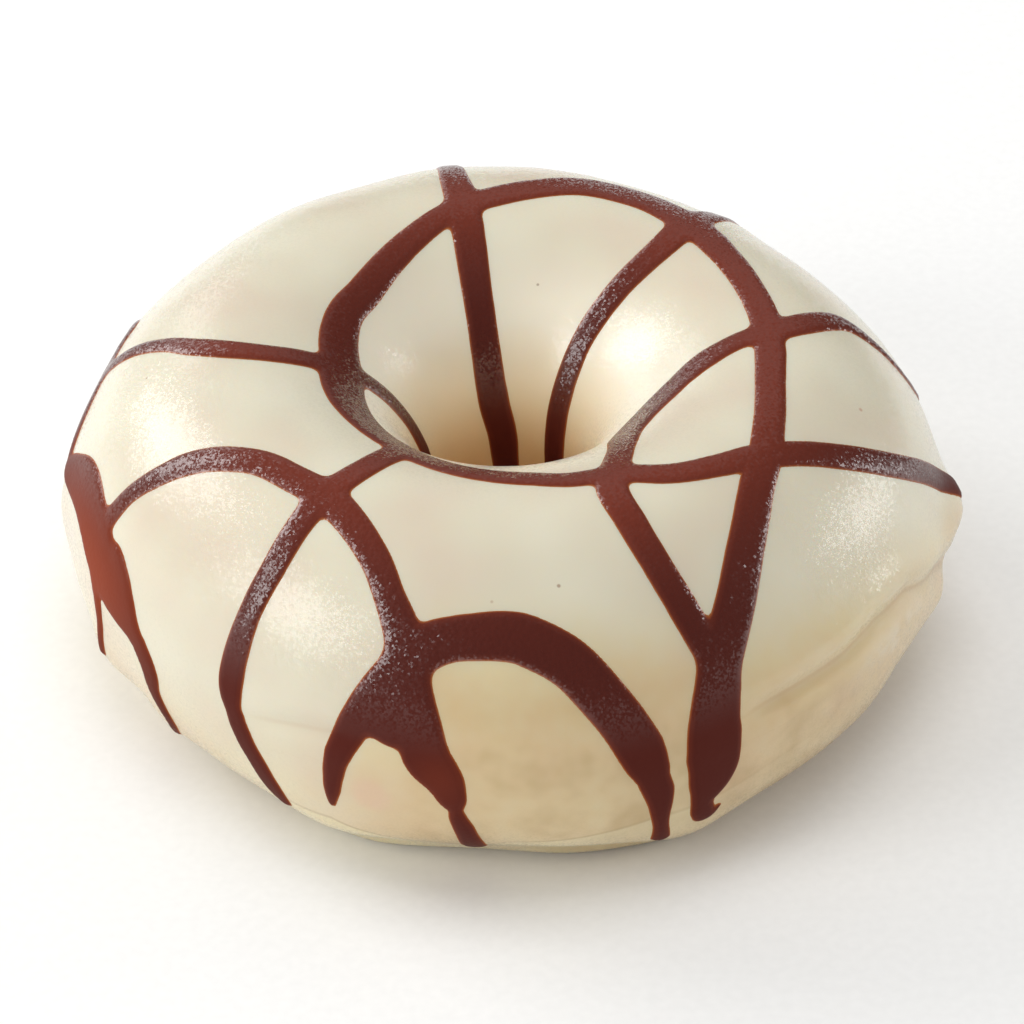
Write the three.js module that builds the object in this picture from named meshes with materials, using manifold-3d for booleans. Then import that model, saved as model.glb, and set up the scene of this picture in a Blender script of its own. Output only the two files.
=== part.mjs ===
// A ring doughnut under a white coat, with dark drizzle laid over it in runs and arches.
// Millimetres, +Z up, seen from -Y. The doughnut stands on z = 0 and its hole runs along Z.
//
// Every place on the coat has two angles in degrees. The ring angle goes round the hole: 0 is
// the right (+X), 90 the back, 180 the left and 270 the front. The tube angle goes round the
// dough: 0 is the outer side, 90 the top, 180 the wall of the hole and -90 the underside.

import * as THREE from 'three';
import { ParametricGeometry } from 'three/addons/geometries/ParametricGeometry.js';
import { mergeVertices } from 'three/addons/utils/BufferGeometryUtils.js';
import Module from 'manifold-3d';

// ---- the ring of dough with its coat ----
const RING_RADIUS = 26.0;     // middle of the dough, from the middle of the hole
const OUTER_REACH = 18.0;     // from there out to the side
const HOLE_REACH = 18.2;      // and in to the hole, which is 15.6 mm wide
const TOP_RISE = 19.4;        // from the widest level up to the top
const BASE_DROP = 15.2;       // from the widest level down to the flat base
const FULL_DROP = 16.6;       // how far the round section would reach without the flat
const BASE_EASE = 0.5;        // rounding where the flat begins
const CENTRE_X = -0.8;        // bring the middle of the uneven outline to x = 0
const CENTRE_Y = -0.2;        // and y = 0

// squareness of the section's four quarters: 2 is a plain ellipse
const SQUARENESS = { outerTop: 1.95, outerLow: 2.45, holeTop: 2.0, holeLow: 2.3 };

// slow waves of the outline: turns round the ring, cosine and sine height
const WAVES = [
  { turns: 2, cosine: -0.4, sine: -0.9 },
  { turns: 4, cosine: 0.9, sine: 0.0 },
];

// soft swells and dents of the hand-laid dough: where, how far they spread, how high
const SWELLS = [
  { ring: 355, tube: 4.5, ringSpread: 5, tubeSpread: 9, rise: 1.75 },
  { ring: 346, tube: -12, ringSpread: 4, tubeSpread: 7, rise: 0.5 },
  { ring: 336, tube: -23, ringSpread: 6, tubeSpread: 12, rise: -0.45 },
  { ring: 294, tube: -38, ringSpread: 7, tubeSpread: 26, rise: 0.95 },
  { ring: 268, tube: -38, ringSpread: 12, tubeSpread: 26, rise: -1.05 },
  { ring: 246, tube: -38, ringSpread: 8, tubeSpread: 26, rise: 0.85 },
  { ring: 214, tube: -34, ringSpread: 4, tubeSpread: 18, rise: 0.35 },
  { ring: 200, tube: -24, ringSpread: 4, tubeSpread: 14, rise: 0.75 },
  { ring: 182, tube: 3, ringSpread: 4, tubeSpread: 12, rise: 0.5 },
  { ring: 168, tube: 25, ringSpread: 8, tubeSpread: 14, rise: -0.35 },
  { ring: 129, tube: 53, ringSpread: 12, tubeSpread: 20, rise: 0.4 },
  { ring: 101, tube: 56, ringSpread: 9, tubeSpread: 20, rise: 0.35 },
  { ring: 84, tube: 57, ringSpread: 10, tubeSpread: 20, rise: 0.2 },
  { ring: 47, tube: 53, ringSpread: 4, tubeSpread: 20, rise: 0.3 },
];

// places where the coat draws in above a thin foot that it left on the table
const FEET = [
  { ring: 250, ringSpread: 11, reach: 1.0, drawnIn: 1.0 },
  { ring: 283, ringSpread: 14, reach: 1.1, drawnIn: 1.2 },
  { ring: 312, ringSpread: 16, reach: 0.5, drawnIn: 0.3 },
];
const FOOT_TUBE = -61;
const FOOT_SPREAD = 7.5;
const LIP_TUBE = -44;
const LIP_SPREAD = 9;

// folds where a second flow of coat stopped: line of [ring, tube], depth, half width, fullness
const FOLDS = [
  {
    line: [[298, 9], [304, 10.5], [318, 10], [325, 12], [333, 11], [339, 4.5], [347, -2], [352, -6]],
    depth: 0.5, half: 3.2, fullness: 0.45,
  },
  {
    line: [[232, 2], [236, 3.5], [242, 7.5], [248, 10.5], [253, 11]],
    depth: 0.2, half: 2.6, fullness: 0.15,
  },
];

// ---- the drizzle: each stroke is a few places [ring, tube, width in mm] it passes through ----
const STROKES = {
  rightFlank: [[372, -29, 1.6], [366, -14, 2.6], [357.5, 7, 2.8], [350, 27, 2.6], [336.5, 56, 3.0],
    [323, 77, 3.2], [307, 88, 3.0], [296.5, 97.5, 3.2], [286, 100, 3.0]],
  holeLip: [[303, 92, 3.0], [296.5, 97.5, 3.2], [284.5, 100.5, 3.0], [260, 109, 3.4],
    [227.5, 120.5, 4.4], [203, 123, 5.2], [182, 123, 5.2], [170, 120.8, 4.7]],
  backArc: [[194, 123, 5.2], [182, 123, 5.2], [152.5, 116, 3.8], [140, 114, 3.7],
    [115, 103.5, 3.2], [82.5, 83, 4.2], [72.5, 76.5, 5.0], [60, 76, 4.8], [50, 79, 4.4]],
  rightTrunk: [[72, 76.5, 5.0], [60, 76, 4.8], [22.5, 88, 3.2], [357.5, 89, 3.2], [332.5, 81, 3.2],
    [316.5, 68, 3.6], [308.5, 56, 3.8], [298.5, 30, 5.0], [296, 0, 5.8], [294.5, -10, 3.8],
    [295, -18, 2.2], [296.5, -23, 2.0]],
  trunkHook: [[295.2, -20, 2.2], [296.6, -23, 2.2], [298.4, -19.5, 0.9]],
  overLeft: [[98, -31, 1.8], [96.5, -12, 2.8], [97.5, 12, 2.8], [99.5, 36, 3.0], [99.5, 59, 2.8],
    [99.5, 90, 3.6], [100.5, 130, 3.1], [97, 162, 3.0], [91, 175, 2.8], [87, 196, 2.4]],
  overRight: [[65, -30, 1.8], [63, -8, 2.8], [57, 18, 3.0], [51, 42, 3.4], [48.5, 77.5, 3.6],
    [46, 100, 3.2], [47, 120, 2.8], [50, 140, 2.5], [49, 173, 2.6], [48, 196, 2.4]],
  rightSwing: [[29, -28, 1.6], [25, -12, 2.4], [16, 8, 2.2], [7, 33, 1.6], [11, 60, 2.8],
    [9, 70, 3.2], [0.5, 100, 2.8], [355, 110, 3.3], [336.5, 122.5, 4.2], [315, 120, 3.8],
    [298, 101, 3.0], [293, 90, 3.2], [292.5, 75, 3.2], [295.5, 42.5, 3.2], [297.5, 30, 3.2]],
  holeBranch: [[179, 123, 2.6], [177, 132.5, 2.4], [173, 150, 2.2], [165, 170, 2.0], [162, 188, 1.6]],
  leftSpur: [[181.9, 115, 2.8], [181.8, 87.5, 2.9], [172.5, 52.5, 2.0], [170, 35, 2.4]],
  leftEdge: [[148, -26, 1.8], [149, -4, 2.6], [153, 20, 2.6], [160, 38, 2.4], [170, 35, 2.2],
    [175, 27, 2.4], [178.5, 17, 2.4]],
  leftBlob: [[180, 14, 2.4], [190, 23.5, 5.0], [196, 21, 6.0], [202.5, 13, 6.6], [214, -1.5, 3.2],
    [215, -12.5, 2.4], [216.5, -25, 1.8], [215.6, -34, 1.4]],
  blobTwig: [[201, 6, 1.8], [201.3, -6, 1.5], [200.5, -20, 1.4]],
  leftArch: [[200.5, 29, 2.3], [202, 39.5, 2.1], [207.5, 59.5, 2.8], [219, 76, 3.1],
    [235, 77.5, 3.4], [249, 63, 2.9], [256, 43, 3.8], [258, 30, 4.6], [262.7, 0, 3.7],
    [264.5, -15, 2.7], [265.5, -42, 2.2]],
  frontRun: [[237.5, 115, 3.2], [237, 100, 2.9], [234.5, 77.5, 3.2], [233.5, 50, 2.8],
    [231.8, 20, 3.1], [231.3, 7.5, 3.1], [232.6, 0, 2.4], [237.5, -20, 2.6], [238.8, -27, 1.6]],
  frontArch: [[247, -13, 1.4], [248.8, 4, 2.6], [252.5, 22.5, 3.8], [258.5, 41, 4.8],
    [270, 46.8, 4.9], [279, 38, 4.8], [283, 26.5, 4.6], [287.8, 0, 3.7], [289.8, -29, 2.0]],
  archWeb: [[256.5, 34, 4.6], [255.8, 20, 5.0]],
  backArch: [[99, 38, 3.0], [108, 44, 3.2], [120, 41, 3.4], [130, 30, 3.2], [136, 12, 2.8],
    [137.5, -8, 2.4], [138, -25, 1.6]],
};
const DRIZZLE_RISE = 0.55;      // height of a stroke's crown above the coat
const CROWN_OUT = 0.72;         // the crown reaches this share of the half width to each side
const EDGE_OUT = 1.12;          // and the sunk edge this share
const EDGE_SINK = 0.3;          // the stroke's edges dip this far into the coat
const KEEL_SINK = 0.9;          // and its underside reaches this far in
const STROKE_STEP = 3.2;        // length of one facet along a stroke

// ---- how finely the ring is faceted ----
const RING_FACETS = 64;
const LOW_FACETS = 16;          // from the foot up past the fold
const HIGH_FACETS = 19;         // over the top and down the hole
const LOW_END = 22;
const BASE_START = -66;         // tube angles where the flat base starts and ends
const BASE_END = -114;

const radians = THREE.MathUtils.degToRad;
const bell = (x) => Math.exp(-x * x);
const turnBetween = (a, b) => ((((a - b) % 360) + 540) % 360) - 180;
const signedPower = (value, power) => Math.sign(value) * Math.abs(value) ** power;

// height along a fold's line at a ring angle
function lineTube(line, ring) {
  for (let i = 1; i < line.length; i++) {
    if (ring <= line[i][0]) {
      const share = (ring - line[i - 1][0]) / (line[i][0] - line[i - 1][0]);
      return line[i - 1][1] + Math.max(share, 0) * (line[i][1] - line[i - 1][1]);
    }
  }
  return line[line.length - 1][1];
}

// how far the coat stands out of its plain section
function unevenness(ring, tube) {
  let rise = 0;
  for (const swell of SWELLS) {
    rise += swell.rise * bell(turnBetween(ring, swell.ring) / swell.ringSpread)
      * bell(turnBetween(tube, swell.tube) / swell.tubeSpread);
  }
  for (const fold of FOLDS) {
    const first = fold.line[0][0];
    const last = fold.line[fold.line.length - 1][0];
    const fade = THREE.MathUtils.smoothstep(ring, first, first + 8)
      * (1 - THREE.MathUtils.smoothstep(ring, last - 4, last + 2));
    const off = turnBetween(tube, lineTube(fold.line, ring));
    rise += fade * (-fold.depth * bell(off / fold.half)
      + fold.fullness * bell((off - 2.2 * fold.half) / (1.6 * fold.half))
      + 0.6 * fold.fullness * bell((off + 2.6 * fold.half) / (1.8 * fold.half)));
  }
  return rise;
}

// place on the coat at a ring angle and a tube angle
function coatPoint(ringAngle, tube, target = new THREE.Vector3()) {
  const ring = THREE.MathUtils.euclideanModulo(ringAngle, 360);
  const out = Math.cos(radians(tube));
  const up = Math.sin(radians(tube));
  let outerReach = OUTER_REACH;
  for (const wave of WAVES) {
    const turn = radians(wave.turns * ring);
    outerReach += wave.cosine * Math.cos(turn) + wave.sine * Math.sin(turn);
  }
  const side = out >= 0 ? 'outer' : 'hole';
  const power = 2 / SQUARENESS[side + (up >= 0 ? 'Top' : 'Low')];
  const rise = unevenness(ring, tube);
  let radius = RING_RADIUS + (out >= 0 ? outerReach : HOLE_REACH) * signedPower(out, power)
    + rise * out;
  for (const foot of FEET) {
    const here = bell(turnBetween(ring, foot.ring) / foot.ringSpread);
    radius += here * foot.reach * bell(turnBetween(tube, FOOT_TUBE) / FOOT_SPREAD);
    radius -= here * foot.drawnIn * bell(turnBetween(tube, LIP_TUBE) / LIP_SPREAD);
  }
  let height = BASE_DROP + (up >= 0 ? TOP_RISE : FULL_DROP) * signedPower(up, power) + rise * up;
  if (height < BASE_EASE) {
    height = height <= -BASE_EASE ? 0 : (height + BASE_EASE) ** 2 / (4 * BASE_EASE);
  }
  return target.set(
    CENTRE_X + radius * Math.cos(radians(ring)),
    CENTRE_Y + radius * Math.sin(radians(ring)), height);
}

// tube angles of the facet rows, closer where the foot, the lip and the fold are
function tubeRows() {
  const rows = [];
  for (let i = 0; i < LOW_FACETS; i++) {
    rows.push(BASE_START + (i * (LOW_END - BASE_START)) / LOW_FACETS);
  }
  for (let i = 0; i <= HIGH_FACETS; i++) {
    rows.push(LOW_END + (i * (BASE_END + 360 - LOW_END)) / HIGH_FACETS);
  }
  return rows;
}

// closed ring: the last strip runs flat across the underside back to the first row
function ringGeometry() {
  const rows = tubeRows();
  return new ParametricGeometry((u, v, target) => {
    const row = Math.round(v * rows.length) % rows.length;
    coatPoint((Math.round(u * RING_FACETS) % RING_FACETS) * (360 / RING_FACETS), rows[row], target);
    if (row === 0 || row === rows.length - 1) target.z = 0;
  }, RING_FACETS, rows.length);
}

// across direction of a stroke, as the change of both angles for one millimetre to its side
function sideways(ring, tube, along) {
  const step = 0.5;
  const byRing = coatPoint(ring + step, tube).sub(coatPoint(ring - step, tube))
    .divideScalar(2 * step);
  const byTube = coatPoint(ring, tube + step).sub(coatPoint(ring, tube - step))
    .divideScalar(2 * step);
  const normal = byRing.clone().cross(byTube).normalize();
  const heading = byRing.clone().multiplyScalar(along.x)
    .add(byTube.clone().multiplyScalar(along.y));
  const side = normal.clone().cross(heading).normalize();
  const rr = byRing.dot(byRing);
  const rt = byRing.dot(byTube);
  const tt = byTube.dot(byTube);
  const whole = rr * tt - rt * rt;
  const sr = side.dot(byRing);
  const st = side.dot(byTube);
  return { normal, ring: (tt * sr - rt * st) / whole, tube: (rr * st - rt * sr) / whole };
}

// one stroke as a closed band that lies along the coat, round at both ends
function strokeGeometry(places) {
  let last = places[0][0];
  const path = new THREE.CatmullRomCurve3(places.map(([ring, tube, width]) => {
    last += turnBetween(ring, last);
    return new THREE.Vector3(last, tube, width);
  }), false, 'catmullrom', 0.5);

  // length run at fine steps of the path, so that sections can be laid evenly
  const fine = (places.length - 1) * 24;
  const runs = [0];
  for (let i = 1; i <= fine; i++) {
    const a = path.getPoint((i - 1) / fine);
    const b = path.getPoint(i / fine);
    runs.push(runs[i - 1] + coatPoint(a.x, a.y).distanceTo(coatPoint(b.x, b.y)));
  }
  const length = runs[fine];
  const shareAt = (run) => {
    let i = 1;
    while (i < fine && runs[i] < run) i++;
    return (i - 1 + (run - runs[i - 1]) / (runs[i] - runs[i - 1])) / fine;
  };

  // places of the sections: a few close ones make each round end
  const capStart = Math.min(places[0][2] / 2, length * 0.4);
  const capEnd = Math.min(places[places.length - 1][2] / 2, length * 0.4);
  const middle = Math.max(1, Math.round((length - capStart - capEnd) / STROKE_STEP));
  const sections = [];
  const cap = [0.02, 0.3, 0.75];
  for (const c of cap) sections.push({ run: c * capStart, full: Math.sqrt(1 - (1 - c) ** 2) });
  for (let i = 0; i <= middle; i++) {
    sections.push({
      run: capStart + (i * (length - capStart - capEnd)) / middle, full: 1,
    });
  }
  for (const c of [...cap].reverse()) {
    sections.push({ run: length - c * capEnd, full: Math.sqrt(1 - (1 - c) ** 2) });
  }

  // outline of a section: share of the half width, height above the coat
  const outline = [
    [EDGE_OUT, -EDGE_SINK], [CROWN_OUT, DRIZZLE_RISE], [-CROWN_OUT, DRIZZLE_RISE],
    [-EDGE_OUT, -EDGE_SINK], [0, -KEEL_SINK],
  ];
  const laid = sections.map(({ run, full }) => {
    const share = Math.min(Math.max(shareAt(run), 0), 1);
    const at = path.getPoint(share);
    const before = path.getPoint(Math.max(share - 0.002, 0));
    const after = path.getPoint(Math.min(share + 0.002, 1));
    const side = sideways(at.x, at.y, after.sub(before));
    return outline.map(([out, height]) => {
      const reach = (out * full * at.z) / 2;
      const rise = height > 0 ? height * Math.sqrt(full) : height;
      return coatPoint(at.x + reach * side.ring, at.y + reach * side.tube)
        .addScaledVector(side.normal, rise);
    });
  });
  const middleOf = (points) => points.reduce((sum, p) => sum.add(p), new THREE.Vector3())
    .divideScalar(points.length);
  const ends = [middleOf(laid[0]), middleOf(laid[laid.length - 1])];
  return new ParametricGeometry((u, v, target) => {
    const row = Math.round(v * (laid.length + 1));
    if (row === 0) target.copy(ends[0]);
    else if (row === laid.length + 1) target.copy(ends[1]);
    else target.copy(laid[row - 1][Math.round(u * outline.length) % outline.length]);
  }, outline.length, laid.length + 1);
}

// ---- joining ----
const wasm = await Module();
wasm.setup();

// closed solid of a geometry, its empty facets left out and its faces turned outwards
function solidOf(geometry) {
  geometry.deleteAttribute('normal');
  geometry.deleteAttribute('uv');
  const merged = mergeVertices(geometry, 1e-4);
  const corners = [];
  const index = merged.getIndex();
  for (let i = 0; i < index.count; i += 3) {
    const [a, b, c] = [index.getX(i), index.getX(i + 1), index.getX(i + 2)];
    if (a !== b && b !== c && c !== a) corners.push(a, b, c);
  }
  const place = merged.getAttribute('position');
  const vertices = new Float32Array(place.array);
  let volume = 0;
  const p = [new THREE.Vector3(), new THREE.Vector3(), new THREE.Vector3()];
  for (let i = 0; i < corners.length; i += 3) {
    p.forEach((point, k) => point.fromBufferAttribute(place, corners[i + k]));
    volume += p[0].dot(p[1].clone().cross(p[2]));
  }
  if (volume < 0) corners.reverse();
  return new wasm.Manifold(new wasm.Mesh({
    numProp: 3, vertProperties: vertices, triVerts: Uint32Array.from(corners),
  }));
}

let doughnutSolid = solidOf(ringGeometry());
for (const places of Object.values(STROKES)) {
  doughnutSolid = doughnutSolid.add(solidOf(strokeGeometry(places)));
}

const joined = doughnutSolid.getMesh();
const doughnutGeometry = new THREE.BufferGeometry();
doughnutGeometry.setAttribute('position', new THREE.BufferAttribute(joined.vertProperties, 3));
doughnutGeometry.setIndex(new THREE.BufferAttribute(joined.triVerts, 1));
doughnutGeometry.computeVertexNormals();

const coated = new THREE.MeshStandardMaterial({ color: 0xdbd3bc, roughness: 0.45, metalness: 0 });
const doughnut = new THREE.Mesh(doughnutGeometry, coated);
doughnut.name = 'doughnut';

const group = new THREE.Group();
group.add(doughnut);

export default group;
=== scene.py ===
import math

import bmesh
import bpy
import numpy as np
from mathutils import Matrix, Vector, noise


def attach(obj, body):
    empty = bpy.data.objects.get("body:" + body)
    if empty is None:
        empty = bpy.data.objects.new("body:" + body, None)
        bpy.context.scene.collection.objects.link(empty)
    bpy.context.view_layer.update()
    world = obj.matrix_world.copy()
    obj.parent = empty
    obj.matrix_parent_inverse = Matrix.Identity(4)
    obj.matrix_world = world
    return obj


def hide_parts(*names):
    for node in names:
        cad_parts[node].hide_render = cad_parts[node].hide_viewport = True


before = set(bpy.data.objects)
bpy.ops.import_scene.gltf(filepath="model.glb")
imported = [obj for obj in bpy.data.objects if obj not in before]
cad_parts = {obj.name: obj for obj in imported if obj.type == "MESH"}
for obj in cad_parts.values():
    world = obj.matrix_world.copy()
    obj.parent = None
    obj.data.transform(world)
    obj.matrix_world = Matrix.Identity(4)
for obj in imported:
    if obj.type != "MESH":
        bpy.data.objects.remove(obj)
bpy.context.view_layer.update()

# A ring doughnut under a white coat, with dark drizzle laid over it in runs and arches.
# Sizes are in millimetres until a mesh is finished, and then in metres. The doughnut stands on
# z = 0 and is seen from -Y.
#
# Every place on the coat has two angles in degrees. The ring angle goes round the hole: 0 is the
# right (+X), 90 the back, 180 the left and 270 the front. The tube angle goes round the dough: 0
# is the outer side, 90 the top, 180 the wall of the hole and -90 the underside.

MM = 0.001

# ---- the ring of dough with its coat, as in the CAD solid ----
RING_RADIUS = 26.0
OUTER_REACH = 18.0
HOLE_REACH = 18.2
TOP_RISE = 19.4
BASE_DROP = 15.2
FULL_DROP = 16.6
BASE_EASE = 0.5
CENTRE_X = -0.8
CENTRE_Y = -0.2

# squareness of the section's four quarters: 2 is a plain ellipse
OUTER_TOP = 1.95
OUTER_LOW = 2.45
HOLE_TOP = 2.0
HOLE_LOW = 2.3

# slow waves of the outline: turns round the ring, cosine and sine height
WAVES = [(2, -0.4, -0.9), (4, 0.9, 0.0)]

# soft swells and dents of the hand-laid dough: ring and tube angle, spread of both, height
SWELLS = [
    (355, 4.5, 5, 9, 1.75),
    (346, -12, 4, 7, 0.5),
    (336, -23, 6, 12, -0.45),
    (294, -38, 7, 26, 0.95),
    (268, -38, 12, 26, -1.05),
    (246, -38, 8, 26, 0.85),
    (214, -34, 4, 18, 0.35),
    (200, -24, 4, 14, 0.75),
    (182, 3, 4, 12, 0.5),
    (168, 25, 8, 14, -0.35),
    (129, 53, 12, 20, 0.4),
    (101, 56, 9, 20, 0.35),
    (84, 57, 10, 20, 0.2),
    (47, 53, 4, 20, 0.3),
]

# places where the coat draws in above a thin foot: ring angle, spread, foot's reach, drawn in
FEET = [(250, 11, 1.0, 1.0), (283, 14, 1.1, 1.2), (312, 16, 0.5, 0.3)]
FOOT_TUBE = -61
FOOT_SPREAD = 7.5
LIP_TUBE = -44
LIP_SPREAD = 9

# folds where a second flow of coat stopped: line of places, depth, half width, fullness beside it
FOLDS = [
    ([(298, 9), (304, 10.5), (318, 10), (325, 12), (333, 11), (339, 4.5), (347, -2), (352, -6)],
     0.5, 3.2, 0.45),
    ([(232, 2), (236, 3.5), (242, 7.5), (248, 10.5), (253, 11)], 0.2, 2.6, 0.15),
]
# beside a fold the coat stands full: share of its fullness, and place and spread in half widths
FOLD_FULLNESS = [(1.0, 2.2, 1.6), (0.6, -2.6, 1.8)]
FOLD_SETS_IN = 8           # degrees of the ring over which a fold sets in
FOLD_RUNS_OUT = (4, 2)     # and those before and past its end over which it runs out
NEAR_FOLD = 3.0            # how far from a fold its shade is worked out
FULL_SHADE = 0.4           # a fold with this fullness or more is shaded in full

# slight unevenness of the set skin: height, and how often it turns in a millimetre
DIMPLES = [(0.035, 0.22), (0.012, 0.6)]

# painted shade down the outside, darker and warmer tan, which also stands for the coat run thin over
# the dough: ring angle, tube angles where it begins and where it is strongest, and how much there is
# then
LOW_SHADE_BY_RING = [
    (0, 5, -5, 0.6), (20, 5, -20, 0.5), (90, 10, -25, 0.4), (150, 10, -25, 0.3),
    (200, 8, -20, 0.15), (225, 8, -20, 0.15), (247, 20, -14, 0.2), (260, 64, 16, 0.6),
    (280, 64, 13, 0.72), (292, 58, 2, 0.74), (302, 52, -6, 0.76), (318, 46, -10, 0.76),
    (333, 40, -12, 0.72), (347, 28, -14, 0.64), (360, 15, -10, 0.56),
]
LOW_TUBE = (5.0, 45.0)     # degrees below the level over which the painted shade comes in everywhere
LOW_SHADE_SHARE = 0.2            # and how strong it is there

# tube angle down the hole where painted warm bounce light begins on the coat, and over how much it
# grows
HOLE_BOUNCE_AT = 105.0
HOLE_BOUNCE_OVER = 80.0

# scuffed patch below the right fold: ring and tube angle, spread of both
SCUFF = (329.0, 1.0, 8.0, 6.0)

# line where the coat's lip ends above the foot, and how clearly it shows: ring, tube, share
LIP_LINE = [
    (230, -30, 0), (241, -25, 0.8), (247, -23, 1), (252, -28, 1), (256, -32, 1), (262, -44, 0.8),
    (266, -38, 0.5), (270, -27, 0.7), (275, -24, 0.75), (281, -20, 0.7), (288, -15, 0.5),
    (294, -14, 0.35), (300, -13, 0.2), (310, -10, 0.1), (320, -10, 0),
]

# toasted spots and crumbs under the coat: ring and tube angle, radius, colour and its share
SPOTS = [
    (342.5, -15.5, 0.55, "A65A40", 0.75),
    (253, -6.5, 2.8, "DDB49C", 0.4),
    (348, 58, 0.3, "B98268", 0.55),
    (278, 60, 0.25, "8E6244", 0.6),
    (77, 125, 0.2, "7E5238", 0.55),
    (268, 56, 0.2, "A87C58", 0.4),
    (351, -2, 1.6, "D2B888", 0.3),
]

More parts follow.
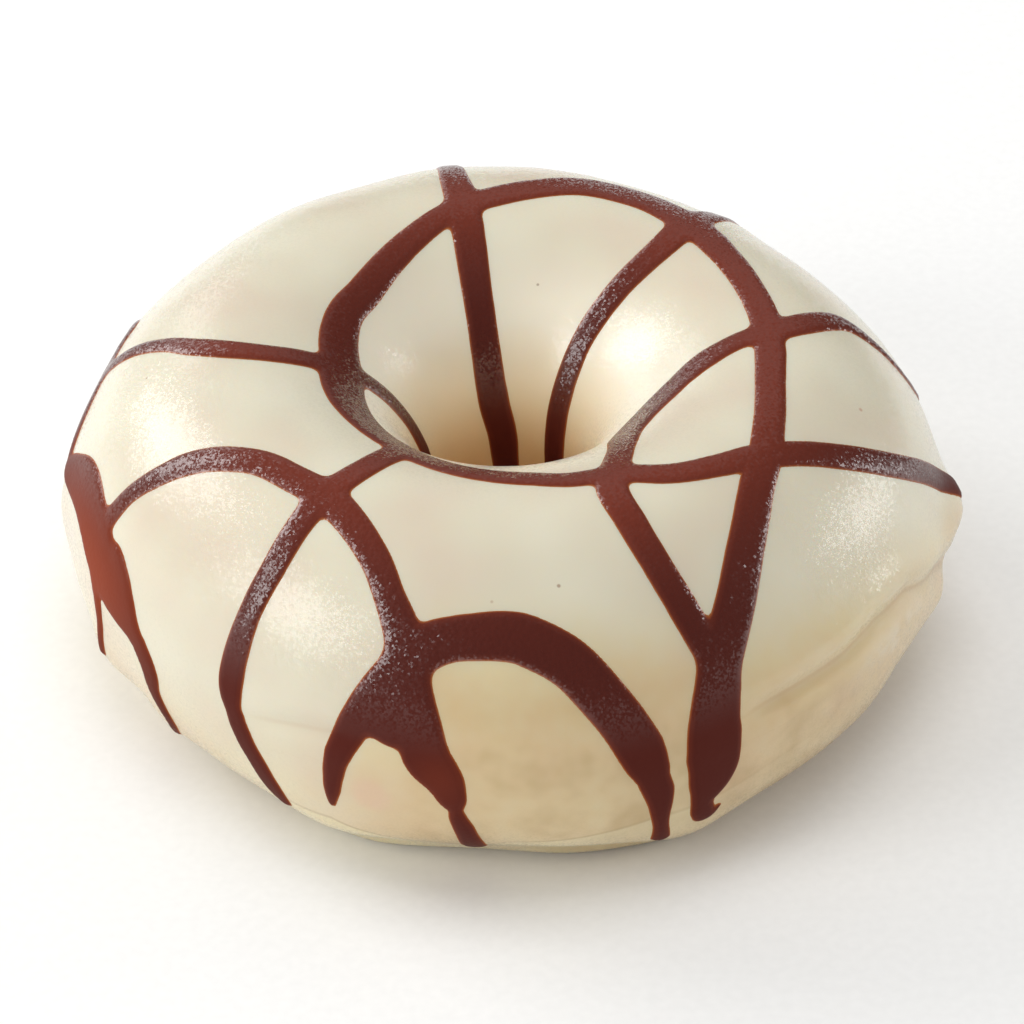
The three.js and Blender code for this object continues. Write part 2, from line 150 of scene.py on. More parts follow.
# ---- the drizzle: each stroke is a few places (ring, tube, width) it passes through ----
STROKES = {
    "long_loop": [(372, -29, 1.6), (366, -14, 2.4), (357.5, 7.5, 2.7), (350, 26.2, 2.7),
                  (344.5, 38.2, 2.8), (336.3, 55.5, 3.0), (329.8, 67.5, 3.1), (322.8, 76.2, 3.2),
                  (315.5, 81.5, 3.0), (307, 87.3, 3.0), (296.5, 96.8, 3.2), (284.5, 100.5, 3.0),
                  (275.5, 104.5, 3.2), (260, 109, 3.4), (246, 114, 3.8), (237.5, 117.5, 4.0),
                  (227.5, 120, 4.4), (215, 121.8, 5.0), (202.5, 122.3, 5.4), (190, 122.8, 5.5),
                  (182, 123, 5.5), (175, 122.2, 5.1), (165, 119.5, 4.5), (152.5, 116.5, 3.9),
                  (140, 115, 3.7), (127.5, 110.5, 3.4), (115, 104, 3.2), (102.5, 95.5, 3.2),
                  (90, 88, 3.8), (82.5, 83, 4.2), (72.5, 76.5, 5.0), (60, 76, 4.8), (50, 79, 4.6),
                  (42.5, 82, 4.2), (35, 85, 3.6), (22.5, 88, 3.2), (10, 89, 3.2), (357.5, 89, 3.2),
                  (345, 87, 3.1), (333, 81, 3.2), (325.2, 75, 3.4), (317.3, 68, 3.6),
                  (309.3, 56, 3.9), (303.8, 44, 4.3), (298.8, 30, 4.8), (297, 20, 5.3),
                  (296.2, 12, 5.9), (296, 4, 6.2), (295.9, -3, 5.6), (295.3, -8, 4.2),
                  (294.4, -13, 2.5), (294.9, -19.5, 2.3)],
    "trunk_hook": [(294.6, -17, 2.2), (295.4, -20.8, 1.5), (296.3, -21.2, 1.0), (297.1, -19, 0.7)],
    "over_left": [(98, -31, 1.8), (96.5, -12, 2.8), (97, 12, 2.8), (98.8, 36, 2.9), (99, 59, 2.8),
                  (99.5, 75, 3.1), (99.5, 90, 3.6), (100, 110, 3.4), (100.5, 130, 3.1),
                  (99.5, 150, 3.1), (97, 162.5, 3.2), (91, 175, 3.0), (87, 196, 2.4)],
    "over_right": [(65, -30, 1.8), (63, -8, 2.8), (57, 18, 3.0), (51, 42, 3.2), (49.5, 60, 3.2),
                   (48.5, 77.5, 3.6), (46.2, 100, 3.2), (47.4, 120, 2.8), (50, 140, 2.5),
                   (50.5, 160, 2.6), (49, 178, 2.6), (48, 196, 2.4)],
    "right_swing": [(29, -28, 1.6), (25, -12, 2.2), (16, 8, 1.6), (9, 24, 1.0), (7.5, 33, 1.1),
                    (9.5, 47, 1.8), (11, 60, 2.8), (9, 70, 3.2), (6, 80, 3.3), (3, 90, 3.2),
                    (0.5, 100, 2.8), (355, 110.5, 3.3), (347.5, 118, 3.4), (337, 123.7, 4.2),
                    (326.5, 125.2, 4.4), (315, 121, 3.8), (305.5, 111.5, 2.9), (298, 101, 3.0),
                    (293, 90, 3.2), (292.8, 75, 3.2), (293.8, 60, 3.1), (295.7, 42.5, 3.2),
                    (297.5, 30, 3.2)],
    "hole_branch": [(179, 123, 2.6), (177, 132.5, 2.4), (173, 150, 2.2), (169, 162.5, 2.2),
                    (165, 172, 2.0), (162, 188, 1.6)],
    "left_spur": [(181.9, 115, 2.8), (183, 100, 2.8), (181.8, 87.5, 2.9), (179, 75.5, 2.7),
                  (175.5, 65, 2.2), (172.5, 52.5, 2.0), (171, 42.5, 2.0), (170, 35, 2.4)],
    "left_edge": [(148, -26, 1.8), (147, -14, 2.4), (149, -2, 2.6), (153, 18, 2.6), (160, 38, 2.2),
                  (165, 38, 2.0), (170, 35, 2.2), (175, 27, 2.4), (178.5, 17, 2.4)],
    "left_blob": [(180, 14, 2.4), (184.5, 19, 4.2), (190.5, 23.5, 6.2), (196, 21, 6.7),
                  (202.5, 13, 7.0), (207.5, 7, 5.2), (211, 2.5, 3.4), (214.3, -4, 3.1),
                  (215, -12.5, 2.4), (216.5, -25, 1.8), (215.6, -35, 1.4)],
    "blob_side": [(204.5, 22, 1.6), (205.3, 20, 2.6), (206.3, 17, 3.5), (208, 13.5, 3.5),
                  (209.8, 9, 2.8), (211, 4.5, 2.2)],
    "blob_twig": [(200.5, 6, 2.4), (201.3, -6, 1.5), (200.5, -20, 1.4)],
    "left_arch": [(200.5, 29, 2.3), (202, 39.5, 2.1), (204.5, 49.5, 2.4), (207.5, 59.5, 2.8),
                  (212, 68.5, 3.0), (219, 76, 3.1), (227.5, 78, 3.3), (235, 77.5, 3.4),
                  (242.5, 72, 3.2), (249, 63, 3.0), (253, 53, 3.1), (256, 43, 3.8), (257.7, 30, 4.3),
                  (259.1, 20, 4.6), (260.3, 10, 4.9), (262, 4.5, 4.4), (263.2, -1.5, 3.2),
                  (263.8, -6, 1.6), (264.1, -10, 1.9), (264.6, -15, 2.2), (265.1, -22, 2.3),
                  (265.5, -32, 2.5), (265.6, -41.5, 2.5)],
    "front_run": [(237.5, 115, 3.2), (237, 100, 2.9), (235.8, 87.5, 3.0), (234.5, 77.5, 3.2),
                  (234, 65, 2.9), (233.5, 50, 2.8), (232.5, 35, 2.7), (231.8, 20, 3.1),
                  (231.5, 9, 3.2), (232, 3, 2.6), (232.7, -1, 2.7), (233.5, -4, 2.8),
                  (235.5, -12, 2.8), (237.5, -22, 2.9), (238.8, -28, 2.1)],
    "front_arch": [(247.6, -14.5, 0.9), (247.7, -9, 1.8), (248.1, -1.5, 2.4), (249.1, 6, 2.9),
                   (250.4, 13, 3.3), (252.3, 22.5, 3.6), (255.2, 32, 4.1), (258.7, 40.5, 4.6),
                   (263, 45, 4.4), (270, 46.6, 4.8), (274.3, 43.9, 4.9), (278.7, 37.5, 4.8),
                   (282.6, 26, 4.7), (284.8, 17.5, 4.7), (286.3, 10, 4.7), (287.3, 3.5, 4.0),
                   (287.8, -0.5, 3.4), (288.6, -5, 3.1), (288.9, -13.5, 2.1), (289.2, -20, 1.7),
                   (289.6, -28.5, 2.0)],
    "arch_web": [(256.8, 34, 4.4), (256.2, 22, 5.2), (256.2, 17.5, 4.2), (253.4, 16.6, 2.6)],
    "back_arch": [(99, 38, 3.0), (108, 43, 3.2), (120, 40, 3.4), (130, 30, 3.2), (136, 12, 2.8),
                  (137.5, -8, 2.4), (138, -25, 1.6)],
}
DRIZZLE_RISE = 0.24        # how far the drizzle stands above the coat
EDGE_WIDTH = 0.8           # how far in from its edge it has reached that
EDGE_SLOPE = 2 * DRIZZLE_RISE / EDGE_WIDTH   # its slope at the edge and down the hidden skirt
FLOW_TOGETHER = 0.9        # how far crossing strokes have run into each other
DRIZZLE_SKIRT = 0.7        # hidden band round the drizzle, sunk in the coat
EDGE_WOBBLE = 0.03         # how far the edge wanders
FLANK_WOBBLE = 0.07        # how much more it wanders on the outer side
WOBBLE_FLANK = 25.0        # tube angle at which that has gone
WOBBLE_BAND = 1.6          # only places this near the edge are moved
WOBBLES = 0.6              # how often the edge turns in a millimetre

# where the drizzle is painted lighter and more orange: on the left it is painted light where it
# faces the left lamps, and made dull there too; at the front it is a smear of thin chocolate. Ring
# and tube angle, spread of both
LEFT_LIT_PATCH = (197.0, 6.0, 16.0, 22.0)
FRONT_SMEAR = (262.0, 3.0, 3.5, 9.0)
FRONT_SMEAR_SHARE = 0.25

GLOSSY_TUBE = (8.0, 40.0)  # tube angles on both sides between which the drizzle turns glossy
FLAT_TOP = (88.0, 27.0)    # tube angle and spread of the ring's flat top

# ---- how finely the pieces are made ----
COAT_RING_STEPS = 360
COAT_TUBE_STEPS = 240
DRIZZLE_RING_STEPS = 720
DRIZZLE_TUBE_STEPS = 300
STROKE_STEPS = 10          # pieces of a stroke between two of its places
FAR = 9.0                  # stands for a distance too great to matter
STROKE_REACH = 5.0         # a stroke's field is worked out this far from it
TUBE_WINDOW = 22.0         # the same in degrees of tube angle


def turn_between(a, b):
    """Angle from b to a in degrees, between -180 and 180."""
    return (a - b + 180.0) % 360.0 - 180.0


def bell(x):
    return np.exp(-x * x)


def smooth_step(low, high, x):
    share = np.clip((x - low) / (high - low), 0.0, 1.0)
    return share * share * (3.0 - 2.0 * share)


def signed_power(value, power):
    return np.sign(value) * np.abs(value) ** power


def patch_share(ring, tube, patch):
    """Soft patch given by its ring and tube angle and the spread of both."""
    at_ring, at_tube, ring_spread, tube_spread = patch
    across = bell(turn_between(ring, at_ring) / ring_spread)
    return across * bell(turn_between(tube, at_tube) / tube_spread)


def fold_course(line, ring):
    """Tube angle of a fold at each ring angle, and how much of the fold there is."""
    first = line[0][0]
    last = line[-1][0]
    before, past = FOLD_RUNS_OUT
    level = np.interp(ring, [place[0] for place in line], [place[1] for place in line])
    share = smooth_step(first, first + FOLD_SETS_IN, ring)
    return level, share * (1 - smooth_step(last - before, last + past, ring))


def unevenness(ring, tube):
    """How far the coat stands out of its plain section."""
    rise = np.zeros_like(ring + tube)
    for at_ring, at_tube, ring_spread, tube_spread, height in SWELLS:
        across = bell(turn_between(ring, at_ring) / ring_spread)
        rise = rise + height * across * bell(turn_between(tube, at_tube) / tube_spread)
    for line, depth, half, fullness in FOLDS:
        level, fade = fold_course(line, ring)
        off = turn_between(tube, level)
        rise = rise - fade * depth * bell(off / half)
        for share, at, spread in FOLD_FULLNESS:
            rise = rise + fade * share * fullness * bell((off - at * half) / (spread * half))
    return rise


def coat_place(ring, tube):
    """Places on the coat at arrays of ring and tube angles, in millimetres."""
    ring = np.mod(np.asarray(ring, float), 360.0)
    tube = np.asarray(tube, float)
    out = np.cos(np.radians(tube))
    up = np.sin(np.radians(tube))
    outer = OUTER_REACH + 0.0 * ring
    for turns, cosine, sine in WAVES:
        outer = outer + cosine * np.cos(np.radians(turns * ring))
        outer = outer + sine * np.sin(np.radians(turns * ring))
    top = np.where(out >= 0, OUTER_TOP, HOLE_TOP)
    low = np.where(out >= 0, OUTER_LOW, HOLE_LOW)
    power = 2.0 / np.where(up >= 0, top, low)
    rise = unevenness(ring, tube)
    reach = np.where(out >= 0, outer, HOLE_REACH)
    radius = RING_RADIUS + reach * signed_power(out, power) + rise * out
    for at_ring, spread, foot, drawn_in in FEET:
        here = bell(turn_between(ring, at_ring) / spread)
        radius = radius + here * foot * bell(turn_between(tube, FOOT_TUBE) / FOOT_SPREAD)
        radius = radius - here * drawn_in * bell(turn_between(tube, LIP_TUBE) / LIP_SPREAD)
    full = np.where(up >= 0, TOP_RISE, FULL_DROP)
    height = BASE_DROP + full * signed_power(up, power) + rise * up
    eased = (np.clip(height, -BASE_EASE, BASE_EASE) + BASE_EASE) ** 2 / (4.0 * BASE_EASE)
    height = np.where(height < BASE_EASE, eased, height)
    turn = np.radians(ring)
    across = CENTRE_X + radius * np.cos(turn)
    along = CENTRE_Y + radius * np.sin(turn)
    return np.stack([across, along, height], axis=-1)


def coat_normal(ring, tube):
    """Outward directions of the coat at arrays of ring and tube angles."""
    step = 0.4
    by_ring = coat_place(ring + step, tube) - coat_place(ring - step, tube)
    by_tube = coat_place(ring, tube + step) - coat_place(ring, tube - step)
    normal = np.cross(by_ring, by_tube)
    return normal / np.linalg.norm(normal, axis=-1, keepdims=True)


def dimples(places):
    """Slight unevenness of the set skin, 2 to 5 mm across, at an array of places."""
    return np.array([sum(height * noise.noise(Vector(place) * often) for height, often in DIMPLES)
                     for place in places])


def coat_shares(ring, tube):
    """Shares of painted shade lower down, painted bounce light in the hole, folds, lip and scuffing.

    The coat is painted darker and warmer tan lower down, where shade falls; this also stands for
    the tan dough showing through where the coat has run thinner. Offsets are in millimetres from
    the line of a fold or of the lip.
    """
    turn = np.mod(ring, 360.0)
    angle = turn_between(tube, 0.0)
    rings = [row[0] for row in LOW_SHADE_BY_RING]
    begins = np.interp(turn, rings, [row[1] for row in LOW_SHADE_BY_RING])
    complete = np.interp(turn, rings, [row[2] for row in LOW_SHADE_BY_RING])
    amount = np.interp(turn, rings, [row[3] for row in LOW_SHADE_BY_RING])
    along = np.clip((begins - angle) / (begins - complete), 0.0, 1.0)
    outside = np.where(np.abs(angle) <= 90.0, 1.0, 0.0)
    thin = outside * amount * along * along * (3.0 - 2.0 * along)
    low = outside * smooth_step(*LOW_TUBE, -angle) * LOW_SHADE_SHARE
    down_hole = np.mod(tube + 90.0, 360.0) - 90.0
    offset = np.full_like(turn, NEAR_FOLD)
    strength = np.zeros_like(turn)
    for line, _, _, fullness in FOLDS:
        level, fade = fold_course(line, turn)
        off = np.radians(angle - level) * OUTER_REACH
        near = (fade > 0) & (np.abs(off) < NEAR_FOLD)
        offset = np.where(near, off, offset)
        strength = np.where(near, fade * min(1.0, fullness / FULL_SHADE), strength)
    lip = np.interp(turn, [row[0] for row in LIP_LINE], [row[1] for row in LIP_LINE])
    lip_share = np.interp(turn, [row[0] for row in LIP_LINE], [row[2] for row in LIP_LINE])
    return {
        "shade_and_dough_tan": np.clip(thin + low, 0.0, 1.0),
        "hole_bounce_warmth": np.clip((down_hole - HOLE_BOUNCE_AT) / HOLE_BOUNCE_OVER, 0.0, 1.0),
        "fold_offset": offset,
        "fold_strength": strength,
        "lip_offset": np.where(outside > 0, np.radians(angle - lip) * OUTER_REACH, FAR),
        "lip_strength": lip_share,
        "scuffing": patch_share(turn, angle, SCUFF),
    }


def wrapped_grid(ring_steps, tube_steps):
    """A flat grid to be wrapped round the ring, and the two angles of each of its corners.

    The tube's seam runs along the underside, so it is never seen.
    """
    mesh = bmesh.new()
    bmesh.ops.create_grid(mesh, x_segments=ring_steps, y_segments=tube_steps, size=0.5)
    places = np.array([corner.co[:] for corner in mesh.verts])
    ring_row = np.round((places[:, 0] + 0.5) * ring_steps).astype(int)
    tube_row = np.round((places[:, 1] + 0.5) * tube_steps).astype(int)
    ring = ring_row * 360.0 / ring_steps
    tube = tube_row * 360.0 / tube_steps - 90.0
    return mesh, ring, tube


def close_seams(mesh):
    """Joins the two seams of a wrapped grid and points its faces outwards."""
    rim = [corner for corner in mesh.verts if corner.is_boundary]
    bmesh.ops.remove_doubles(mesh, verts=rim, dist=1e-6)
    bmesh.ops.recalc_face_normals(mesh, faces=mesh.faces)


def move_corners(mesh, places):
    """Puts each corner of a mesh at its place, given in millimetres."""
    for corner, place in zip(mesh.verts, places * MM):
        corner.co = Vector(place)


def smooth_path(places, steps):
    """A smooth curve through a stroke's places: ring, tube and width at even shares of it."""
    points = np.array(places, float)
    for i in range(1, len(points)):
        points[i, 0] = points[i - 1, 0] + turn_between(points[i, 0], points[i - 1, 0])
    before = 2 * points[0] - points[1]
    after = 2 * points[-1] - points[-2]
    points = np.vstack([before, points, after])
    rows = []
    for i in range(1, len(points) - 2):
        a, b, c, d = points[i - 1:i + 3]
        for u in np.arange(steps) / steps:
            rows.append(0.5 * (2 * b + (c - a) * u + (2 * a - 5 * b + 4 * c - d) * u ** 2
                               + (3 * b - 3 * c + d - a) * u ** 3))
    rows.append(points[-2])
    return np.array(rows)


def stroke_field(grid, places):
    """Distance of each place of the grid from one stroke's edge, less than 0 inside it."""
    field = np.full(grid.shape[:2], FAR)
    path = smooth_path(places, STROKE_STEPS)
    spots = coat_place(path[:, 0], path[:, 1])
    ring_count, tube_count = grid.shape[:2]
    ring_step = 360.0 / ring_count
    tube_step = 360.0 / tube_count
    for k in range(len(path) - 1):
        start = spots[k]
        piece = spots[k + 1] - start
        from_middle = math.hypot(start[0] - CENTRE_X, start[1] - CENTRE_Y)
        # nearer the middle the same reach is a wider angle, up to a quarter turn
        ring_window = min(math.degrees(STROKE_REACH / max(from_middle - 2.0, 4.0)), 90.0)
        ring_cells = int(ring_window / ring_step) + 2
        tube_cells = int(TUBE_WINDOW / tube_step) + 2
        at_ring = int(round(path[k, 0] / ring_step))
        at_tube = int(round(path[k, 1] / tube_step))
        rows = np.arange(at_ring - ring_cells, at_ring + ring_cells) % ring_count
        columns = np.arange(at_tube - tube_cells, at_tube + tube_cells) % tube_count
        patch = np.ix_(rows, columns)
        off = grid[patch] - start
        share = np.clip((off @ piece) / max(piece @ piece, 1e-9), 0.0, 1.0)
        width = path[k, 2] + (path[k + 1, 2] - path[k, 2]) * share
        apart = np.linalg.norm(off - share[..., None] * piece, axis=-1) - width / 2
        field[patch] = np.minimum(field[patch], apart)
    return field


def flow_together(a, b, amount):
    """Smooth union of two fields, with the corner between them filled."""
    share = np.clip(0.5 + 0.5 * (b - a) / amount, 0.0, 1.0)
    return b + (a - b) * share - amount * share * (1.0 - share)


def drizzle_field(ring_count, tube_count):
    """Distance from the drizzle's edge on an even grid of ring and tube angles."""
    ring, tube = np.meshgrid(np.arange(ring_count) * 360.0 / ring_count,
                             np.arange(tube_count) * 360.0 / tube_count, indexing="ij")
    grid = coat_place(ring, tube)
    field = np.full(ring.shape, FAR)
    for places in STROKES.values():
        field = flow_together(field, stroke_field(grid, places), FLOW_TOGETHER)
    return field


def finished(mesh, name, material):
    """Makes a mesh a smooth piece of the doughnut that stands for the CAD node."""
    data = bpy.data.meshes.new(name)
    mesh.to_mesh(data)
    mesh.free()
    data.materials.append(material)
    data.polygons.foreach_set("use_smooth", [True] * len(data.polygons))
    piece = bpy.data.objects.new(name, data)
    bpy.context.scene.collection.objects.link(piece)
    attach(piece, "root")
    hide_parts("doughnut")
    return piece


# ---- materials ----
def linear(hex_colour):
    """An sRGB colour such as DDD5BE as linear red, green, blue and alpha."""
    parts = [int(hex_colour[i:i + 2], 16) / 255 for i in (0, 2, 4)]
    return [p / 12.92 if p <= 0.04045 else ((p + 0.055) / 1.055) ** 2.4 for p in parts] + [1.0]


def add_node(tree, kind, settings=None, inputs=None):
    """Adds a node with its settings; an input is a number, a colour or another node's output."""
    node = tree.nodes.new(kind)
    for key, value in (settings or {}).items():
        setattr(node, key, value)
    for key, value in (inputs or {}).items():
        if isinstance(value, bpy.types.NodeSocket):
            tree.links.new(value, node.inputs[key])
        else:
            node.inputs[key].default_value = value
    return node


def new_material(name):
    material = bpy.data.materials.new(name)
    material.use_nodes = True
    material.node_tree.nodes.clear()
    return material, material.node_tree


def colour_steps(tree, factor, steps):
    """A colour ramp through (position, hex colour) steps."""
    node = add_node(tree, "ShaderNodeValToRGB", {}, {"Fac": factor})
    ramp = node.color_ramp
    while len(ramp.elements) < len(steps):
        ramp.elements.new(0.5)
    for element, (position, colour) in zip(ramp.elements, steps):
        element.position = position
        element.color = linear(colour)
    return node.outputs["Color"]


def facet_normal(tree, place, per_metre, tilt):
    """Normals of small facets, each tilted at random: what makes grains glint one by one."""
    cells = add_node(tree, "ShaderNodeTexVoronoi", {}, {"Vector": place, "Scale": per_metre})
    centred = add_node(tree, "ShaderNodeVectorMath", {"operation": "SUBTRACT"},
                       {0: cells.outputs["Color"], 1: (0.5, 0.5, 0.5)})
    tilted = add_node(tree, "ShaderNodeVectorMath", {"operation": "SCALE"},
                      {0: centred.outputs["Vector"], "Scale": tilt})
    smooth = add_node(tree, "ShaderNodeNewGeometry").outputs["Normal"]
    turned = add_node(tree, "ShaderNodeVectorMath", {"operation": "ADD"},
                      {0: smooth, 1: tilted.outputs["Vector"]})
    even = add_node(tree, "ShaderNodeVectorMath", {"operation": "NORMALIZE"},
                    {0: turned.outputs["Vector"]})
    return even.outputs["Vector"]


def attribute(tree, name):
    return add_node(tree, "ShaderNodeAttribute", {"attribute_name": name}).outputs["Fac"]


def mixed(tree, share, first, second, blend="MIX"):
    """The first colour with a share of the second laid over it."""
    return add_node(tree, "ShaderNodeMix", {"data_type": "RGBA", "blend_type": blend},
                    {"Factor": share, 6: first, 7: second}).outputs[2]


def product(tree, a, b):
    node = add_node(tree, "ShaderNodeMath", {"operation": "MULTIPLY", "use_clamp": True},
                    {0: a, 1: b})
    return node.outputs["Value"]


def remapped(tree, value, low, high, to_low, to_high, steps="SMOOTHSTEP"):
    node = add_node(tree, "ShaderNodeMapRange", {"interpolation_type": steps},
                    {"Value": value, "From Min": low, "From Max": high,
                     "To Min": to_low, "To Max": to_high})
    return node.outputs["Result"]


def distance_from(tree, place, ring, tube):
    """Distance of the shaded point from one place on the coat, in metres."""
    spot = coat_place(ring, tube) * MM
    node = add_node(tree, "ShaderNodeVectorMath", {"operation": "DISTANCE"},
                    {0: place, 1: tuple(float(part) for part in spot)})
    return node.outputs["Value"]


def size_of(tree, value):
    return add_node(tree, "ShaderNodeMath", {"operation": "ABSOLUTE"}, {0: value}).outputs["Value"]


def white_coat():
    """White confectionery coating: sugar, milk and vegetable fat, poured warm and set.

    Fine sugar in fat scatters light under the surface, so it glows softly and its shadows are warm;
    the skin dries to a low sheen that breaks into sparkles on the sugar's grain. Real grains are
    about 0.03 mm, too fine to show, so their facets are drawn 0.2 mm across. Lower down and at the
    front the coat is painted darker and warmer tan: painted shade, which also stands for the tan of
    the fried dough where the coat has run thin. Deep in the hole it is painted warmer with bounce
    light, and painted shade lies in the folds and along the lip.
    """
    material, tree = new_material("set_white_confectionery_coating")
    place = add_node(tree, "ShaderNodeTexCoord").outputs["Object"]
    # cloudiness of the coat in patches about 12 mm across
    cloud = add_node(tree, "ShaderNodeTexNoise", {},
                     {"Vector": place, "Scale": 85.0, "Detail": 1.0, "Roughness": 0.55})
    colour = colour_steps(tree, cloud.outputs["Fac"],
                          [(0.3, "D9CCB6"), (0.5, "DBD3BC"), (0.7, "DFD9C3")])
    # painted shade, darker and warmer tan lower down and at the front, which also stands for the
    # dough's tan where the coat is thin; uneven in blots about 5 mm across
    blot = add_node(tree, "ShaderNodeTexNoise", {},
                    {"Vector": place, "Scale": 200.0, "Detail": 2.0, "Roughness": 0.6})
    uneven = remapped(tree, blot.outputs["Fac"], 0.3, 0.7, 0.75, 1.2, "LINEAR")
    shows = product(tree, attribute(tree, "shade_and_dough_tan"), uneven)
    tan = colour_steps(tree, shows,
                       [(0.0, "FFFFFF"), (0.35, "FFF4DC"), (0.65, "FAE6C6"), (1.0, "DCC197")])
    colour = mixed(tree, 1.0, colour, tan, "MULTIPLY")
    # below the lip the foot is olive tan, and a soft brown line 0.8 mm wide runs along the lip:
    # painted shadow under the lip
    lip = attribute(tree, "lip_offset")
    lip_share = attribute(tree, "lip_strength")
    foot = product(tree, remapped(tree, lip, -0.25, 0.05, 0.75, 0.0), lip_share)
    colour = mixed(tree, foot, colour, linear("E2D6AE"))
    edge = product(tree, remapped(tree, size_of(tree, lip), 0.03, 0.4, 0.45, 0.0), lip_share)
    colour = mixed(tree, edge, colour, linear("A48C5E"))
    # painted shade in the fold: a brown line 0.8 mm wide darkens the crease, with a softer painted
    # shade 1.3 mm to each side
    fold = size_of(tree, attribute(tree, "fold_offset"))
    fold_share = attribute(tree, "fold_strength")
    shade = product(tree, remapped(tree, fold, 0.1, 1.3, 0.12, 0.0), fold_share)
    colour = mixed(tree, shade, colour, linear("C8A875"))
    line = product(tree, remapped(tree, fold, 0.04, 0.4, 0.24, 0.0), fold_share)
    colour = mixed(tree, line, colour, linear("B98D58"))
    # scuffed patch beside the fold, whitish in the same blots
    scuffed = product(tree, remapped(tree, blot.outputs["Fac"], 0.46, 0.64, 0.0, 0.45),
                      attribute(tree, "scuffing"))
    colour = mixed(tree, scuffed, colour, linear("EFEADA"))
    # painted light: deep in the hole the coat is painted warmer and brighter, for light bounced
    # about inside it
    hole = attribute(tree, "hole_bounce_warmth")
    depth = colour_steps(tree, hole,
                         [(0.0, "E4DCC8"), (0.4, "EDE5D1"), (0.7, "F1DDB9"), (1.0, "F6C98C")])
    colour = mixed(tree, remapped(tree, hole, 0.0, 0.35, 0.0, 1.0), colour, depth)
    for ring, tube, radius, spot_colour, share in SPOTS:
        near = remapped(tree, distance_from(tree, place, ring, tube),
                        0.4 * radius * MM, radius * MM, share, 0.0)
        colour = mixed(tree, near, colour, linear(spot_colour))
    # small brown specks of crumb, each about 0.25 mm, in a few of the 4 mm cells
    cells = add_node(tree, "ShaderNodeTexVoronoi", {}, {"Vector": place, "Scale": 250.0})
    chosen = add_node(tree, "ShaderNodeSeparateColor", {}, {"Color": cells.outputs["Color"]})
    rare = add_node(tree, "ShaderNodeMath", {"operation": "GREATER_THAN"},
                    {0: chosen.outputs["Red"], 1: 0.94})
    dot = remapped(tree, cells.outputs["Distance"], 0.02, 0.045, 0.5, 0.0)
    speck = product(tree, rare.outputs["Value"], dot)
    colour = mixed(tree, speck, colour, linear("8A5A3C"))
    shader = add_node(tree, "ShaderNodeBsdfPrincipled", {"subsurface_method": "RANDOM_WALK"}, {
        "Base Color": colour,
        "Roughness": 0.34,
        "IOR": 1.46,
        "Specular IOR Level": 0.42,
        "Subsurface Weight": 0.3,
        "Subsurface Radius": (1.0, 0.62, 0.36),
        "Subsurface Scale": 0.002,
        "Coat Weight": 0.6,
        "Coat Roughness": 0.12,
        "Coat IOR": 1.45,
        "Coat Normal": facet_normal(tree, place, 5000.0, 0.2),
    })
    add_node(tree, "ShaderNodeOutputMaterial", {}, {"Surface": shader.outputs["BSDF"]})
    return material


def dark_drizzle():
    """Dark chocolate drizzle, piped warm from a fine nozzle and set.

    Cocoa in fat is nearly black where it lies thick and orange brown where it thins to nothing at
    the edge; its set skin has a satin gloss that a fine bloom breaks into bright grains. Real ones
    are too fine to show, so their facets are drawn 0.2 mm across.
    """
    material, tree = new_material("set_dark_chocolate_drizzle")
    place = add_node(tree, "ShaderNodeTexCoord").outputs["Object"]
    gloss = attribute(tree, "gloss")
    # the rim, 0.2 mm wide, is thin enough for the light to come through it; the steps run over
    # the first 0.7 mm from the edge
    inset = attribute(tree, "edge_inset")
    share = remapped(tree, inset, 0.0, 0.7, 0.0, 1.0, "LINEAR")
    thick = colour_steps(tree, share,
                         [(0.0, "B4743C"), (0.14, "8F4624"), (0.32, "652A1D"), (1.0, "56221A")])
    # painted sheen: the drizzle is painted lighter and warmer where it faces up, on the flat top of
    # the ring
    rim_off = remapped(tree, inset, 0.05, 0.3, 0.0, 1.0)
    top = product(tree, attribute(tree, "up_facing_sheen"), rim_off)
    colour = mixed(tree, top, thick, linear("763223"))
    # painted light on the left, where the drizzle faces the lamps, and a smear of thin chocolate at
    # the front: both lighter and more orange
    colour = mixed(tree, attribute(tree, "smear_and_left_light"), colour, linear("8D3C22"))
    # bloomed grains 0.5 mm apart, worn smooth lower down where the drizzle ran
    grain = add_node(tree, "ShaderNodeTexVoronoi", {"feature": "SMOOTH_F1"},
                     {"Vector": place, "Scale": 2000.0, "Smoothness": 0.5})
    fine = add_node(tree, "ShaderNodeBump", {"invert": True},
                    {"Height": grain.outputs["Distance"], "Distance": 0.00008,
                     "Strength": remapped(tree, gloss, 0.0, 0.8, 0.15, 0.9)})
    shader = add_node(tree, "ShaderNodeBsdfPrincipled", {}, {
        "Base Color": colour,
        "Roughness": 0.5,
        "IOR": 1.48,
        "Specular IOR Level": 0.06,
        "Coat Weight": gloss,
        "Coat Roughness": 0.22,
        "Coat IOR": 1.66,
        "Normal": fine.outputs["Normal"],
        "Coat Normal": facet_normal(tree, place, 5200.0, 0.32),
    })
    add_node(tree, "ShaderNodeOutputMaterial", {}, {"Surface": shader.outputs["BSDF"]})
    return material


def pale_floor():
    """Matt white studio paper under the doughnut: bleached pulp, faintly cloudy every 1 mm."""
    material, tree = new_material("matt_white_studio_paper")
    place = add_node(tree, "ShaderNodeTexCoord").outputs["Object"]
    fibre = add_node(tree, "ShaderNodeTexNoise", {}, {"Vector": place, "Scale": 900.0})
    colour = colour_steps(tree, fibre.outputs["Fac"], [(0.3, "F4F4F3"), (0.7, "F7F7F6")])
    shader = add_node(tree, "ShaderNodeBsdfPrincipled", {},
                      {"Base Color": colour, "Roughness": 0.9})
    add_node(tree, "ShaderNodeOutputMaterial", {}, {"Surface": shader.outputs["BSDF"]})
    return material


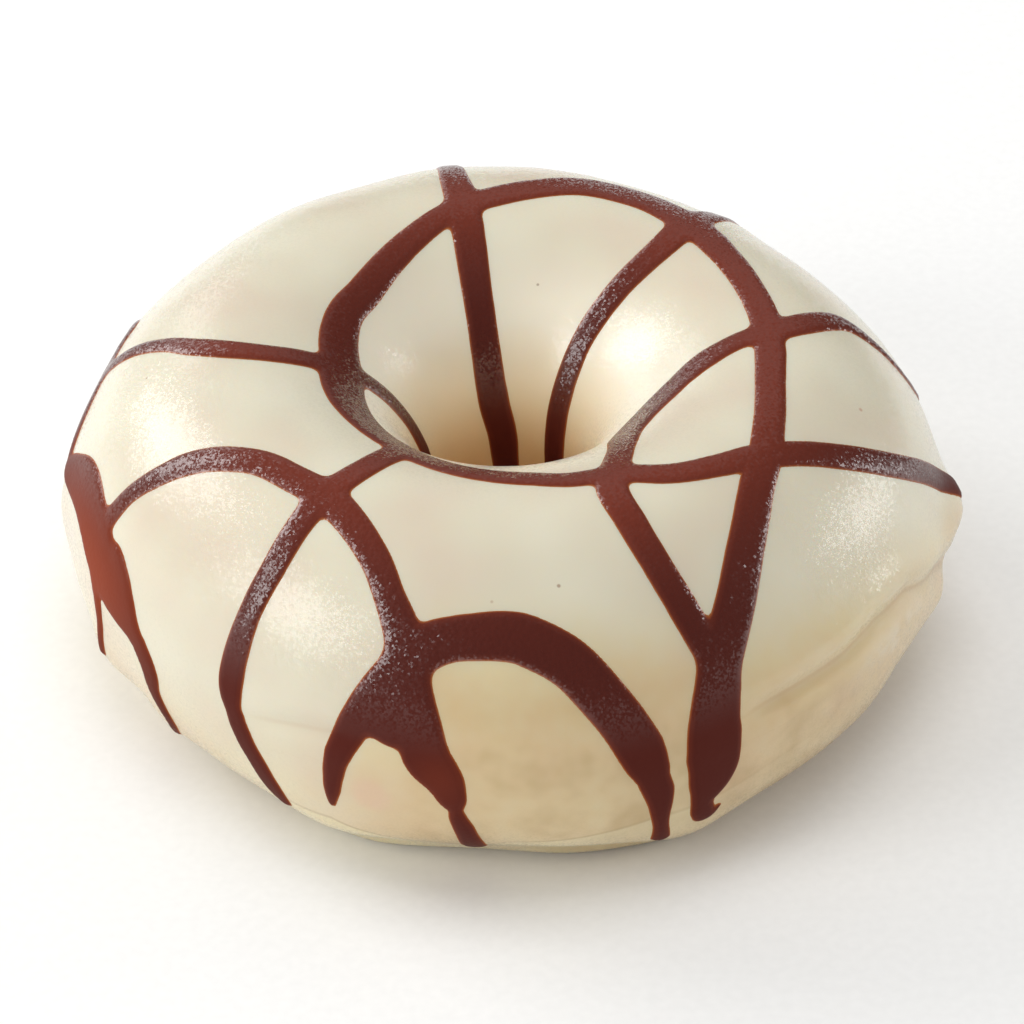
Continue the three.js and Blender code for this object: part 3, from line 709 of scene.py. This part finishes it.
# ---- pieces ----
def build_coat():
    """The coated ring as one closed skin."""
    mesh, ring, tube = wrapped_grid(COAT_RING_STEPS, COAT_TUBE_STEPS)
    places = coat_place(ring, tube)
    places = places + coat_normal(ring, tube) * dimples(places)[:, None]
    move_corners(mesh, places)
    for name, shares in coat_shares(ring, tube).items():
        layer = mesh.verts.layers.float.new(name)
        for corner, share in zip(mesh.verts, shares):
            corner[layer] = share
    close_seams(mesh)
    return finished(mesh, "coated_ring", white_coat())


def build_drizzle():
    """All the strokes as one low skin that dips into the coat round its edge."""
    mesh, ring, tube = wrapped_grid(DRIZZLE_RING_STEPS, DRIZZLE_TUBE_STEPS)
    field = drizzle_field(DRIZZLE_RING_STEPS, DRIZZLE_TUBE_STEPS)
    ring_at = np.round(ring * DRIZZLE_RING_STEPS / 360.0).astype(int) % DRIZZLE_RING_STEPS
    tube_at = np.round(tube * DRIZZLE_TUBE_STEPS / 360.0).astype(int) % DRIZZLE_TUBE_STEPS
    apart = field[ring_at, tube_at]
    places = coat_place(ring, tube)
    from_side = np.abs(turn_between(tube, 0.0))
    wobble = EDGE_WOBBLE + FLANK_WOBBLE * (1.0 - smooth_step(0.0, WOBBLE_FLANK, from_side))
    for i in np.where(np.abs(apart) < WOBBLE_BAND)[0]:
        apart[i] += wobble[i] * noise.noise(Vector(places[i]) * WOBBLES)
    inward = -apart
    share = np.clip(inward / EDGE_WIDTH, 0.0, 1.0)
    rise = np.where(inward > 0, DRIZZLE_RISE * (1.0 - (1.0 - share) ** 2), EDGE_SLOPE * inward)
    rise = np.maximum(rise, -DRIZZLE_SKIRT * EDGE_SLOPE)
    places = places + coat_normal(ring, tube) * (rise + dimples(places))[:, None]
    move_corners(mesh, places)
    depth = mesh.verts.layers.float.new("edge_inset")
    smear = mesh.verts.layers.float.new("smear_and_left_light")
    gloss = mesh.verts.layers.float.new("gloss")
    upward = mesh.verts.layers.float.new("up_facing_sheen")
    left = patch_share(ring, tube, LEFT_LIT_PATCH)
    smear_and_left_light = left + FRONT_SMEAR_SHARE * patch_share(ring, tube, FRONT_SMEAR)
    above = np.abs(turn_between(tube, -90.0)) - 90.0
    bright = smooth_step(*GLOSSY_TUBE, above) * (1 - left) ** 2
    facing = bell(turn_between(tube, FLAT_TOP[0]) / FLAT_TOP[1])
    rows = zip(mesh.verts, inward, smear_and_left_light, bright, facing)
    for corner, value, thin, shiny, up in rows:
        corner[depth] = value
        corner[smear] = thin
        corner[gloss] = shiny
        corner[upward] = up
    close_seams(mesh)
    outside = [face for face in mesh.faces
               if all(corner[depth] < -DRIZZLE_SKIRT for corner in face.verts)]
    bmesh.ops.delete(mesh, geom=outside, context="FACES")
    return finished(mesh, "drizzle", dark_drizzle())


build_coat()
build_drizzle()

# ---- floor, light and camera ----
floor_mesh = bmesh.new()
bmesh.ops.create_grid(floor_mesh, x_segments=2, y_segments=2, size=3.0)
floor_data = bpy.data.meshes.new("floor")
floor_mesh.to_mesh(floor_data)
floor_mesh.free()
floor_data.materials.append(pale_floor())
floor = bpy.data.objects.new("floor", floor_data)
bpy.context.scene.collection.objects.link(floor)


LIGHT_DISTANCE = 0.9
LIGHT_AIM = Vector((0, 0, 0.015))

# soft boxes: place round the doughnut and above the level in degrees, width and height in metres,
# brightness of the lit cloth, and whether the glossy skin mirrors it
SOFT_BOXES = {
    "left_box": (150, 28, 0.46, 0.4, 5.2, True),
    "left_front_box": (203, 24, 0.34, 0.44, 5.6, True),
    "left_back_box": (116, 20, 0.2, 0.3, 1.8, True),
    "right_box": (16, 12, 0.3, 0.3, 4.6, True),
    "back_box": (90, 32, 0.8, 0.55, 0.2, True),
    "top_box": (0, 88, 0.5, 0.5, 2.75, False),
}


def soft_box(name, around, above, width, height, brightness, mirrored):
    """A rectangular soft box that looks at the doughnut."""
    turn = math.radians(around)
    lift = math.radians(above)
    away = Vector((math.cos(turn) * math.cos(lift), math.sin(turn) * math.cos(lift),
                   math.sin(lift)))
    light = bpy.data.lights.new(name, "AREA")
    light.shape = "RECTANGLE"
    light.size = width
    light.size_y = height
    light.energy = math.pi * width * height * brightness
    lamp = bpy.data.objects.new(name, light)
    lamp.location = LIGHT_AIM + away * LIGHT_DISTANCE
    lamp.rotation_euler = (-away).to_track_quat("-Z", "Y").to_euler()
    lamp.visible_glossy = mirrored
    bpy.context.scene.collection.objects.link(lamp)


for box_name, box in SOFT_BOXES.items():
    soft_box(box_name, *box)

# even light from the white room, which fills the shadows
ROOM_LIGHT = 0.54

world = bpy.data.worlds.new("studio_room")
bpy.context.scene.world = world
world.use_nodes = True
background = world.node_tree.nodes["Background"]
background.inputs["Color"].default_value = linear("FFFFFF")
background.inputs["Strength"].default_value = ROOM_LIGHT
world.cycles_visibility.glossy = False
bpy.context.scene.view_settings.view_transform = "Standard"

# the photo was taken 37.5 degrees above the level, from about 440 mm away with a long lens
ELEVATION = math.radians(37.5)
DISTANCE = 0.440
LENS = 152.2
ROLL = math.radians(-0.3)
SEEN_MIDDLE = Vector((CENTRE_X * MM, CENTRE_Y * MM, BASE_DROP * MM))
AIM_RIGHT = 0.71 * MM
AIM_DOWN = 1.37 * MM

camera_data = bpy.data.cameras.new("photo_camera")
camera_data.sensor_width = 36.0
camera_data.lens = LENS
camera_data.clip_start = 0.01
camera_data.clip_end = 20.0
camera = bpy.data.objects.new("photo_camera", camera_data)
bpy.context.scene.collection.objects.link(camera)
back = Vector((0, -math.cos(ELEVATION), math.sin(ELEVATION)))
upwards = Vector((0, math.sin(ELEVATION), math.cos(ELEVATION)))
camera.location = SEEN_MIDDLE + back * DISTANCE
aim = SEEN_MIDDLE + Vector((AIM_RIGHT, 0, 0)) - upwards * AIM_DOWN
turn = (aim - camera.location).to_track_quat("-Z", "Y").to_matrix()
camera.rotation_euler = (turn @ Matrix.Rotation(ROLL, 3, "Z")).to_euler()
bpy.context.scene.camera = camera
